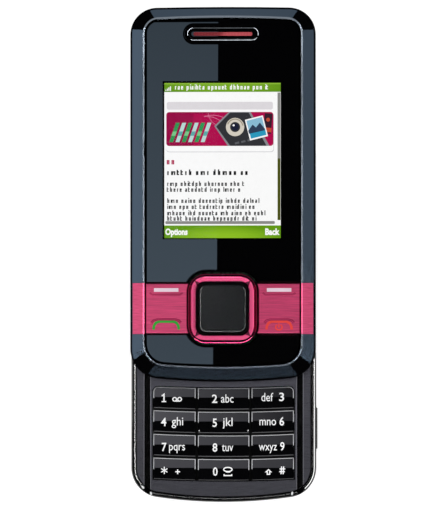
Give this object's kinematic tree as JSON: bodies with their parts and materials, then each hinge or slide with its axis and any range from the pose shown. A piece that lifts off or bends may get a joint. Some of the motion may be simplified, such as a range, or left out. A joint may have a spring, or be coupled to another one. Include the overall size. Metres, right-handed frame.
{
  "type": "slider phone",
  "caption": "Slim slider phone, shown open: display half with pink navigation keys slides over a half with a number keypad.",
  "frame": {"origin": "middle of the lower half's flat back, where the phone lies on a table", "axes": "+X to the phone's right, +Y along its length towards the earpiece, +Z out of the display towards the user"},
  "size_m": [0.0489, 0.1295, 0.0149],
  "materials": {
    "black_gloss": "polished black, mirror-like",
    "key_gloss": "polished dark grey key caps with white legends",
    "window_acrylic": "hard-coated acrylic, black behind the rim, clear over the display",
    "plate_metal": "anodised dark grey, finely brushed across",
    "pink_metal": "anodised pink, finely brushed",
    "pink_polish": "anodised pink, polished",
    "satin_key": "soft-touch satin",
    "cover_satin": "satin soft-touch",
    "port_black": "fine matt texture",
    "chrome_ring": "polished",
    "red_mesh": "fine woven acoustic mesh",
    "black_mesh": "fine woven acoustic mesh",
    "steel": "stainless, fine grain",
    "back_plate": "black anodised sheet",
    "display_cell": "lit colour display under clear glass",
    "foam": "closed-cell foam",
    "board": "solder-resist green laminate",
    "dome_film": "clear film over steel domes",
    "silicone": "milky translucent silicone",
    "battery_can": "wrapped in plain grey film",
    "contact_block": "black moulding with gilt fingers",
    "lens_black": "matt black lens barrel",
    "camera_glass": "coated dark glass",
    "speaker_body": "moulded",
    "flex": "amber polyimide film",
    "antenna_carrier": "moulded carrier with a plated track"
  },
  "bodies": {
    "base": {"front_cover": "plate_metal", "rear_housing": "black_gloss", "main_board": "board", "keypad_dome_sheet": "dome_film", "keypad_mat": "silicone", "shield_cans": "steel", "battery": "battery_can", "battery_contacts": "contact_block", "sim_holder": "steel", "camera_module": "lens_black", "camera_window": "camera_glass", "loudspeaker": "speaker_body", "speaker_mesh": "black_mesh", "charger_jack": "port_black", "headset_jack": "port_black", "data_socket": "steel", "microphone": "steel", "vibration_motor": "steel", "antenna": "antenna_carrier", "base_screws": "steel", "strap_pin": "steel"},
    "slide": {"slide_bezel": "black_gloss", "display_window": "window_acrylic", "chin_panel": "black_gloss", "display_module": "display_cell", "display_gasket": "foam", "earpiece_ring": "chrome_ring", "earpiece_mesh": "red_mesh", "earpiece_speaker": "speaker_body", "trim_left": "pink_metal", "trim_right": "pink_metal", "key_board": "board", "function_dome_sheet": "dome_film", "function_key_mat": "silicone", "slide_rear_cover": "back_plate", "slide_runner_left": "steel", "slide_runner_right": "steel", "slide_screws": "steel", "slide_spring_left": "steel", "slide_spring_right": "steel", "flex_cable": "flex"},
    "key_1": {"key_1": "key_gloss"},
    "key_2": {"key_2": "key_gloss"},
    "key_3": {"key_3": "key_gloss"},
    "key_4": {"key_4": "key_gloss"},
    "key_5": {"key_5": "key_gloss"},
    "key_6": {"key_6": "key_gloss"},
    "key_7": {"key_7": "key_gloss"},
    "key_8": {"key_8": "key_gloss"},
    "key_9": {"key_9": "key_gloss"},
    "key_star": {"key_star": "key_gloss"},
    "key_0": {"key_0": "key_gloss"},
    "key_hash": {"key_hash": "key_gloss"},
    "select_key": {"select_key": "satin_key"},
    "nav_ring": {"nav_ring": "pink_polish"},
    "nav_rocker": {"nav_rocker": "port_black"},
    "left_function_key": {"left_function_key": "pink_metal"},
    "right_function_key": {"right_function_key": "pink_metal"},
    "connector_cover": {"connector_cover": "black_gloss"},
    "battery_cover": {"battery_cover": "cover_satin"}
  },
  "joints": [
    {"name": "slide_travel", "type": "slide", "parent": "base", "child": "slide", "axis": [0, -1, 0], "range_m": [0, 0.0313], "deforming": ["slide_spring_left", "slide_spring_right", "flex_cable"]},
    {"name": "key_1_press", "type": "slide", "parent": "base", "child": "key_1", "axis": [0, 0, -1], "range_m": [0, 0.0003], "stiffness_N_per_m": 2000},
    {"name": "key_2_press", "type": "slide", "parent": "base", "child": "key_2", "axis": [0, 0, -1], "range_m": [0, 0.0003], "stiffness_N_per_m": 2000},
    {"name": "key_3_press", "type": "slide", "parent": "base", "child": "key_3", "axis": [0, 0, -1], "range_m": [0, 0.0003], "stiffness_N_per_m": 2000},
    {"name": "key_4_press", "type": "slide", "parent": "base", "child": "key_4", "axis": [0, 0, -1], "range_m": [0, 0.0003], "stiffness_N_per_m": 2000},
    {"name": "key_5_press", "type": "slide", "parent": "base", "child": "key_5", "axis": [0, 0, -1], "range_m": [0, 0.0003], "stiffness_N_per_m": 2000},
    {"name": "key_6_press", "type": "slide", "parent": "base", "child": "key_6", "axis": [0, 0, -1], "range_m": [0, 0.0003], "stiffness_N_per_m": 2000},
    {"name": "key_7_press", "type": "slide", "parent": "base", "child": "key_7", "axis": [0, 0, -1], "range_m": [0, 0.0003], "stiffness_N_per_m": 2000},
    {"name": "key_8_press", "type": "slide", "parent": "base", "child": "key_8", "axis": [0, 0, -1], "range_m": [0, 0.0003], "stiffness_N_per_m": 2000},
    {"name": "key_9_press", "type": "slide", "parent": "base", "child": "key_9", "axis": [0, 0, -1], "range_m": [0, 0.0003], "stiffness_N_per_m": 2000},
    {"name": "key_star_press", "type": "slide", "parent": "base", "child": "key_star", "axis": [0, 0, -1], "range_m": [0, 0.0003], "stiffness_N_per_m": 2000},
    {"name": "key_0_press", "type": "slide", "parent": "base", "child": "key_0", "axis": [0, 0, -1], "range_m": [0, 0.0003], "stiffness_N_per_m": 2000},
    {"name": "key_hash_press", "type": "slide", "parent": "base", "child": "key_hash", "axis": [0, 0, -1], "range_m": [0, 0.0003], "stiffness_N_per_m": 2000},
    {"name": "select_key_press", "type": "slide", "parent": "slide", "child": "select_key", "axis": [0, 0, -1], "range_m": [0, 0.0003], "stiffness_N_per_m": 2500},
    {"name": "nav_tilt_sideways", "type": "hinge", "parent": "slide", "child": "nav_rocker", "pos_m": [0, 0.0014, 0.0129], "axis": [0, 1, 0], "range_deg": [-1.8, 1.8], "stiffness_Nm_per_rad": 0.15},
    {"name": "nav_tilt_lengthwise", "type": "hinge", "parent": "nav_rocker", "child": "nav_ring", "pos_m": [0, 0.0014, 0.0129], "axis": [1, 0, 0], "range_deg": [-1.8, 1.8], "stiffness_Nm_per_rad": 0.15},
    {"name": "left_function_rock", "type": "hinge", "parent": "slide", "child": "left_function_key", "pos_m": [-0.01476, 0.0014, 0.0126], "axis": [1, 0, 0], "range_deg": [-2.5, 2.5], "stiffness_Nm_per_rad": 0.11},
    {"name": "right_function_rock", "type": "hinge", "parent": "slide", "child": "right_function_key", "pos_m": [0.01476, 0.0014, 0.0126], "axis": [1, 0, 0], "range_deg": [-2.5, 2.5], "stiffness_Nm_per_rad": 0.11},
    {"name": "connector_cover_swing", "type": "hinge", "parent": "base", "child": "connector_cover", "pos_m": [0.02392, -0.0299, 0.0034], "axis": [0, 1, 0], "range_deg": [0, 100]},
    {"name": "battery_cover_slide", "type": "slide", "parent": "base", "child": "battery_cover", "axis": [0, -1, 0], "range_m": [0, 0.005]}
  ]
}
